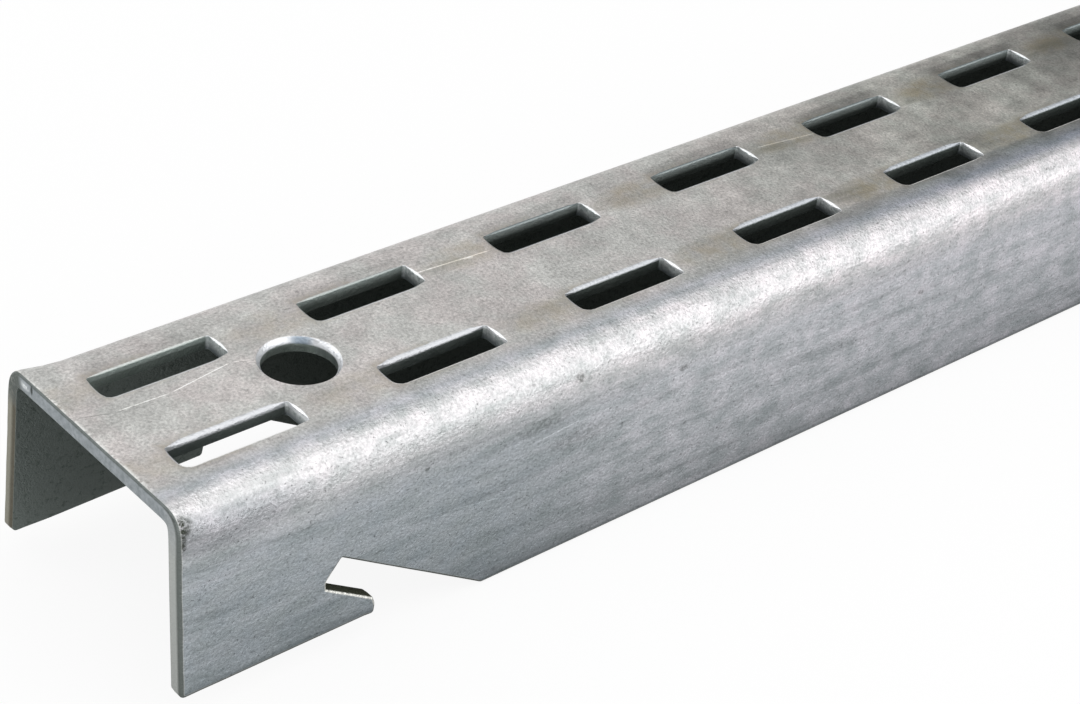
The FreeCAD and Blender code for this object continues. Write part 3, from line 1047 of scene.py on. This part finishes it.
def build_channel():
    mesh = strip_mesh("galvanised_channel")
    channel = new_object("galvanised_channel", mesh)
    mesh.materials.append(zinc_finish())
    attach(channel, "root")
    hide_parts("slotted_channel")


# Floor, light and camera, their lengths in metres
FLOOR_HALF_SIDE = 3.0
FLOOR_DROP = 0.0002  # keeps the floor just below the flanges' edges
FLOOR_GREY = (0.80, 0.80, 0.80, 1.0)
FLOOR_SHADE_REACH = 0.08
FLOOR_SHADE_POWER = 1.5
FLOOR_SHADE_SAMPLES = 6
FLOOR_WHITE_SHARE = 0.9
WHITE = (1.0, 1.0, 1.0, 1.0)
ROOM_GLOW = 0.50


def build_floor():
    """A pale floor that looks white to the camera and to reflections and keeps the object's shadow."""
    side = FLOOR_HALF_SIDE
    corners = [(-side, -side), (side, -side), (side, side), (-side, side)]
    mesh = bpy.data.meshes.new("floor")
    mesh.from_pydata([(x, y, -FLOOR_DROP) for x, y in corners], [], [(0, 1, 2, 3)])
    floor = new_object("floor", mesh)
    material = bpy.data.materials.new("white_floor")
    s = Shader(material)
    diffuse = s.node("BsdfDiffuse")
    s.feed(diffuse.inputs["Color"], FLOOR_GREY)
    glow = s.node("Emission")
    s.feed(glow.inputs["Color"], WHITE)
    path = s.node("LightPath")
    mixer = s.node("MixShader")
    output = s.node("OutputMaterial")
    open_sky = s.node("AmbientOcclusion", samples=FLOOR_SHADE_SAMPLES)
    s.feed(open_sky.inputs["Distance"], FLOOR_SHADE_REACH)
    mirrored = s.plus(path.outputs["Is Glossy Ray"], path.outputs["Is Transmission Ray"])
    open_share = s.math("POWER", open_sky.outputs["AO"], FLOOR_SHADE_POWER)
    camera_ray = path.outputs["Is Camera Ray"]
    s.link(s.plus(camera_ray, s.times(mirrored, open_share)), glow.inputs["Strength"])
    seen = s.times(camera_ray, FLOOR_WHITE_SHARE)
    s.link(s.plus(seen, mirrored, clamp=True), mixer.inputs["Fac"])
    s.link(diffuse.outputs[0], mixer.inputs[1])
    s.link(glow.outputs[0], mixer.inputs[2])
    s.link(mixer.outputs[0], output.inputs["Surface"])
    mesh.materials.append(material)


def build_world():
    """Plain room light, and white where the camera sees past the floor."""
    world = bpy.data.worlds.new("studio")
    bpy.context.scene.world = world
    s = Shader(world)
    path = s.node("LightPath")
    mixer = s.node("MixShader")
    output = s.node("OutputWorld")
    s.link(path.outputs["Is Camera Ray"], mixer.inputs["Fac"])
    for socket, strength in ((mixer.inputs[1], ROOM_GLOW), (mixer.inputs[2], 1.0)):
        background = s.node("Background")
        s.feed(background.inputs["Color"], WHITE)
        s.feed(background.inputs["Strength"], strength)
        s.link(background.outputs[0], socket)
    s.link(mixer.outputs[0], output.inputs["Surface"])


# Soft lamps: name, place, facing, width, height, glow, and degrees turned about Z
LAMPS = (
    ("top_lamp", (0.445, -0.639, 1.15), (0.0, 0.0, -1.0), 3.4, 1.30, 1.19, -28.0),
    ("crown_lamp", (0.60, 0.35, 1.15), (0.0, 0.0, -1.0), 0.44, 0.42, 1.2, 0.0),
    ("low_lamp", (0.45, -1.24, 0.17), (0.0, 1.0, 0.0), 3.6, 0.34, 0.62, 0.0),
    ("front_lamp", (0.20, -1.25, 0.43), (0.0, 1.0, 0.0), 4.2, 0.76, 1.25, 0.0),
    ("back_lamp", (0.15, 1.10, 0.82), (0.0, -1.0, -0.3), 1.6, 1.4, 0.44, 0.0),
    ("side_lamp", (-1.12, 0.95, 0.82), (0.8, -0.9, -0.7), 1.2, 1.1, 1.35, 0.0),
)


def build_lamp(name, place, facing, width, height, glow, turned):
    """A soft rectangular lamp, its width level, that shines towards facing."""
    data = bpy.data.lights.new(name, "AREA")
    data.shape = "RECTANGLE"
    data.size = width
    data.size_y = height
    data.energy = glow * math.pi * width * height
    lamp = new_object(name, data)
    lamp.location = place
    aim = (-Vector(facing)).to_track_quat("Z", "Y").to_matrix()
    lamp.rotation_euler = (Matrix.Rotation(math.radians(turned), 3, "Z") @ aim).to_euler()


# The photograph's viewpoint, in the frame's millimetres
CAMERA_PLACE = (-408.08, -161.38, 164.53)
CAMERA_RIGHT = (0.75045, -0.65250, 0.10518)
CAMERA_DOWN = (-0.29985, -0.47794, -0.82563)
FOCAL_PIXELS = 2472.8
PHOTO_WIDTH = 1080.0
SENSOR_WIDTH = 36.0
CLIP_START, CLIP_END = 0.01, 20.0


def build_camera():
    data = bpy.data.cameras.new("camera")
    data.sensor_fit = "HORIZONTAL"
    data.sensor_width = SENSOR_WIDTH
    data.lens = FOCAL_PIXELS / PHOTO_WIDTH * SENSOR_WIDTH
    data.clip_start = CLIP_START
    data.clip_end = CLIP_END
    camera = new_object("camera", data)
    right = Vector(CAMERA_RIGHT).normalized()
    down = Vector(CAMERA_DOWN)
    back = right.cross(-down).normalized()
    up = back.cross(right)
    turn = Matrix((right, up, back)).transposed().to_4x4()
    camera.matrix_world = Matrix.Translation(Vector(CAMERA_PLACE) * MM) @ turn
    bpy.context.scene.camera = camera


build_channel()
build_floor()
build_world()
for lamp in LAMPS:
    build_lamp(*lamp)
build_camera()
bpy.context.scene.view_settings.view_transform = "Standard"
